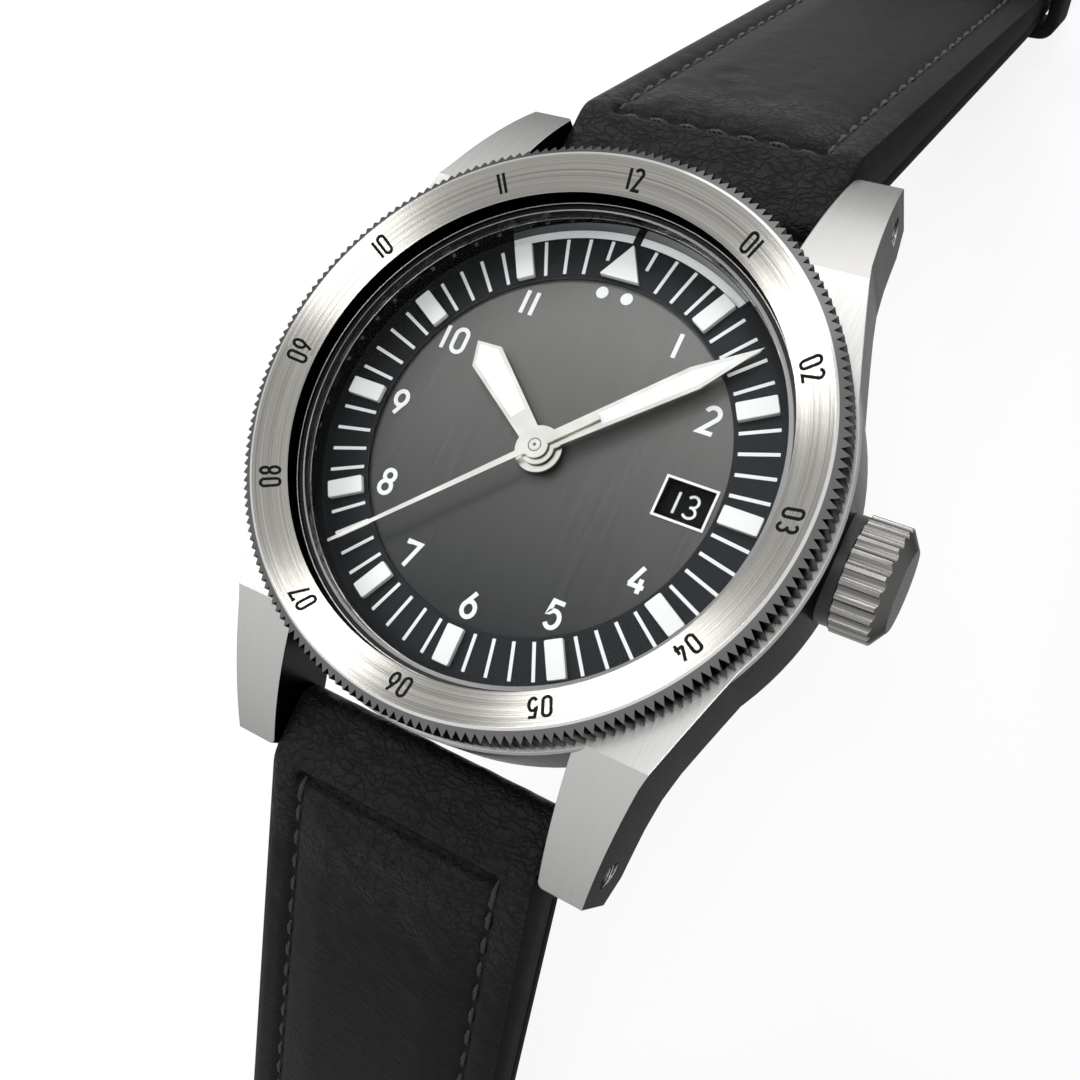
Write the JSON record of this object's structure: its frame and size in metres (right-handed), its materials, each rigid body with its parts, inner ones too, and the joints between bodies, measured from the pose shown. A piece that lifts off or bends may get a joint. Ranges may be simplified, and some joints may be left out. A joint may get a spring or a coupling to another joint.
{
  "type": "pilot watch",
  "caption": "Pilot watch on a leather strap, standing on its strap ends: steel case, toothed turning bezel, dark dial, self-winding movement.",
  "frame": {"origin": "middle of the flat face of the case back, on the axis of the dial", "axes": "+Z out of the dial, +Y towards 12 o'clock, +X towards 3 o'clock and the crown"},
  "size_m": [0.0433, 0.223, 0.0529],
  "materials": {
    "brushed_case_steel": "satin brushed stainless steel",
    "polished_steel": "polished stainless steel",
    "crown_steel": "fine turned stainless steel",
    "sapphire": "clear polished sapphire",
    "black_rubber": "moulded black rubber",
    "dial_lacquer": "dark brushed and lacquered brass",
    "luminous_white": "matt white luminous fill",
    "date_black": "matt black printed disc",
    "hand_steel": "polished and brushed steel",
    "plated_brass": "rhodium plated brass",
    "gilt_brass": "gilt brass",
    "ruby": "synthetic ruby",
    "spring_steel": "tempered spring steel",
    "black_leather": "black calf leather, fine grain",
    "lining_leather": "black lining leather"
  },
  "bodies": {
    "head": {"mid_case": "brushed_case_steel", "case_back": "brushed_case_steel", "case_back_gasket": "black_rubber", "crystal": "sapphire", "crystal_gasket": "black_rubber", "flange_ring": "polished_steel", "bezel_retaining_wire": "spring_steel", "bezel_spring": "spring_steel", "dial": "dial_lacquer", "hour_markers": "luminous_white", "date_window_frame": "luminous_white", "main_plate": "plated_brass", "movement_ring": "plated_brass", "barrel_bridge": "plated_brass", "train_bridge": "plated_brass", "balance_cock": "plated_brass", "jewels": "ruby", "bridge_screws": "spring_steel", "rotor_bearing": "polished_steel", "crown_tube": "polished_steel", "crown_collar": "black_rubber", "spring_bar_tubes": "polished_steel"},
    "bezel": {"rotating_bezel": "brushed_case_steel"},
    "stem_slide": {"setting_lever": "spring_steel"},
    "crown": {"crown": "crown_steel", "winding_stem": "spring_steel", "crown_gasket": "black_rubber"},
    "minute": {"minute_hand": "hand_steel", "minute_hand_lume": "luminous_white", "cannon_pinion": "polished_steel"},
    "hour": {"hour_hand": "hand_steel", "hour_hand_lume": "luminous_white", "hour_wheel": "gilt_brass"},
    "minute_wheel": {"minute_wheel": "gilt_brass"},
    "date": {"date_ring": "date_black"},
    "seconds": {"seconds_hand": "hand_steel", "fourth_wheel": "gilt_brass"},
    "third": {"third_wheel": "gilt_brass"},
    "centre": {"centre_wheel": "gilt_brass"},
    "escape": {"escape_wheel": "spring_steel"},
    "intermediate": {"intermediate_wheel": "gilt_brass"},
    "barrel": {"barrel": "gilt_brass", "mainspring": "spring_steel"},
    "fork": {"pallet_fork": "spring_steel"},
    "balance": {"balance_wheel": "gilt_brass", "hairspring": "spring_steel"},
    "rotor": {"rotor": "plated_brass"},
    "tip_12_crown_side": {"spring_bar_tip_12_crown_side": "polished_steel"},
    "tip_12_far_side": {"spring_bar_tip_12_far_side": "polished_steel"},
    "tip_6_crown_side": {"spring_bar_tip_6_crown_side": "polished_steel"},
    "tip_6_far_side": {"spring_bar_tip_6_far_side": "polished_steel"},
    "strap_12": {"strap_12_leather": "black_leather", "strap_12_lining": "lining_leather", "keeper_fixed": "black_leather", "buckle_pin": "polished_steel"},
    "loose_keeper": {"keeper_loose": "black_leather"},
    "buckle": {"buckle_frame": "brushed_case_steel"},
    "prong": {"buckle_prong": "polished_steel"},
    "strap_6": {"strap_6_leather": "black_leather", "strap_6_lining": "lining_leather"}
  },
  "joints": [
    {"name": "bezel_turn", "type": "hinge", "parent": "head", "child": "bezel", "pos_m": [0, 0, 0], "axis": [0, 0, 1], "continuous": true},
    {"name": "crown_pull", "type": "slide", "parent": "head", "child": "stem_slide", "axis": [1, 0, 0], "range_m": [0, 0.0012]},
    {"name": "crown_turn", "type": "hinge", "parent": "stem_slide", "child": "crown", "pos_m": [0, 0, 0.0054], "axis": [1, 0, 0], "continuous": true},
    {"name": "minute_hand_turn", "type": "hinge", "parent": "head", "child": "minute", "pos_m": [0, 0, 0], "axis": [0, 0, 1], "continuous": true},
    {"name": "hour_hand_turn", "type": "hinge", "parent": "head", "child": "hour", "pos_m": [0, 0, 0], "axis": [0, 0, 1], "continuous": true},
    {"name": "minute_wheel_turn", "type": "hinge", "parent": "head", "child": "minute_wheel", "pos_m": [-0.00205, 0.00205, 0.005], "axis": [0, 0, 1], "continuous": true},
    {"name": "date_ring_turn", "type": "hinge", "parent": "head", "child": "date", "pos_m": [0, 0, 0], "axis": [0, 0, 1], "continuous": true},
    {"name": "seconds_hand_turn", "type": "hinge", "parent": "head", "child": "seconds", "pos_m": [0, 0, 0], "axis": [0, 0, 1], "continuous": true},
    {"name": "third_wheel_turn", "type": "hinge", "parent": "head", "child": "third", "pos_m": [-0.0036, 0, 0.005], "axis": [0, 0, 1], "continuous": true},
    {"name": "centre_wheel_turn", "type": "hinge", "parent": "head", "child": "centre", "pos_m": [0, 0, 0], "axis": [0, 0, 1], "continuous": true},
    {"name": "escape_wheel_turn", "type": "hinge", "parent": "head", "child": "escape", "pos_m": [0.0018, -0.00312, 0.005], "axis": [0, 0, 1], "continuous": true},
    {"name": "intermediate_wheel_turn", "type": "hinge", "parent": "head", "child": "intermediate", "pos_m": [0, 0.00205, 0.005], "axis": [0, 0, 1], "continuous": true},
    {"name": "barrel_turn", "type": "hinge", "parent": "head", "child": "barrel", "pos_m": [0, 0.008, 0.005], "axis": [0, 0, 1], "continuous": true},
    {"name": "pallet_fork_rock", "type": "hinge", "parent": "head", "child": "fork", "pos_m": [0.00325, -0.00563, 0.005], "axis": [0, 0, 1], "range_deg": [-5, 5]},
    {"name": "balance_swing", "type": "hinge", "parent": "head", "child": "balance", "pos_m": [0.00445, -0.00771, 0.005], "axis": [0, 0, 1], "range_deg": [-270, 270], "stiffness_Nm_per_rad": 0.0000003},
    {"name": "rotor_swing", "type": "hinge", "parent": "head", "child": "rotor", "pos_m": [0, 0, 0], "axis": [0, 0, 1], "continuous": true},
    {"name": "tip_12_crown_side_press", "type": "slide", "parent": "head", "child": "tip_12_crown_side", "axis": [-1, 0, 0], "range_m": [0, 0.003], "stiffness_N_per_m": 200, "springref_m": -0.002},
    {"name": "tip_12_far_side_press", "type": "slide", "parent": "head", "child": "tip_12_far_side", "axis": [1, 0, 0], "range_m": [0, 0.003], "stiffness_N_per_m": 200, "springref_m": -0.002},
    {"name": "tip_6_crown_side_press", "type": "slide", "parent": "head", "child": "tip_6_crown_side", "axis": [-1, 0, 0], "range_m": [0, 0.003], "stiffness_N_per_m": 200, "springref_m": -0.002},
    {"name": "tip_6_far_side_press", "type": "slide", "parent": "head", "child": "tip_6_far_side", "axis": [1, 0, 0], "range_m": [0, 0.003], "stiffness_N_per_m": 200, "springref_m": -0.002},
    {"name": "strap_12_swing", "type": "hinge", "parent": "head", "child": "strap_12", "pos_m": [0, 0.0226, 0.00355], "axis": [1, 0, 0], "range_deg": [-35, 55]},
    {"name": "strap_6_swing", "type": "hinge", "parent": "head", "child": "strap_6", "pos_m": [0, -0.0226, 0.00355], "axis": [-1, 0, 0], "range_deg": [-35, 55]},
    {"name": "keeper_slide", "type": "slide", "parent": "strap_12", "child": "loose_keeper", "axis": [0, -0.7847, 0.6198], "range_m": [0, 0.025]},
    {"name": "buckle_swing", "type": "hinge", "parent": "strap_12", "child": "buckle", "pos_m": [0, 0.08872, -0.0381], "axis": [1, 0, 0], "range_deg": [-60, 0]},
    {"name": "prong_swing", "type": "hinge", "parent": "strap_12", "child": "prong", "pos_m": [0, 0.08872, -0.0381], "axis": [1, 0, 0], "range_deg": [0, 100]}
  ],
  "couplings": [
    {"joint": "hour_hand_turn", "follows": "minute_hand_turn", "ratio": 0.083333},
    {"joint": "minute_wheel_turn", "follows": "minute_hand_turn", "ratio": -0.33333},
    {"joint": "third_wheel_turn", "follows": "seconds_hand_turn", "ratio": -0.13333},
    {"joint": "centre_wheel_turn", "follows": "seconds_hand_turn", "ratio": 0.016667},
    {"joint": "escape_wheel_turn", "follows": "seconds_hand_turn", "ratio": -10},
    {"joint": "intermediate_wheel_turn", "follows": "seconds_hand_turn", "ratio": -0.0053763},
    {"joint": "barrel_turn", "follows": "seconds_hand_turn", "ratio": 0.0018939}
  ]
}
